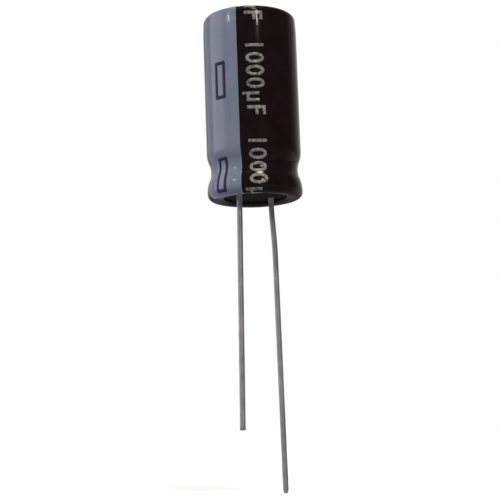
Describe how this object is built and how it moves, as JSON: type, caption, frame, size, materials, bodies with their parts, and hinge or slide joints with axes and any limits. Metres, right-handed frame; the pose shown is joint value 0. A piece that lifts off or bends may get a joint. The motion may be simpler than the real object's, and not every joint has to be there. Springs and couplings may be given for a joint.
{
  "type": "electrolytic capacitor",
  "caption": "Radial-lead aluminium electrolytic capacitor in a dark shrunk sleeve with a pale polarity stripe, a beaded can, a rubber bung and two tinned wire leads.",
  "frame": {"origin": "centre of the seating plane, on the can's axis, where the rim meets the circuit board", "axes": "+Z along the can's axis towards its closed end, the leads point along -Z; the negative lead and the stripe are on the -X side"},
  "size_m": [0.0103, 0.0102, 0.0518],
  "materials": {
    "can": "satin, lightly drawn",
    "sleeve": "semi-gloss shrunk sleeve",
    "stripe": "semi-gloss print",
    "marks": "semi-gloss print",
    "bung": "matt moulded rubber",
    "paper": "soaked capacitor paper",
    "tape": "adhesive film",
    "terminal": "forged aluminium",
    "lead": "dull tinned steel wire"
  },
  "bodies": {
    "root": {"can": "can", "sleeve": "sleeve", "polarity_stripe": "stripe", "minus_marks": "marks", "rubber_bung": "bung", "wound_element": "paper", "closing_tape": "tape", "negative_tab": "terminal", "positive_tab": "terminal", "negative_wire": "lead", "positive_wire": "lead"}
  },
  "joints": []
}
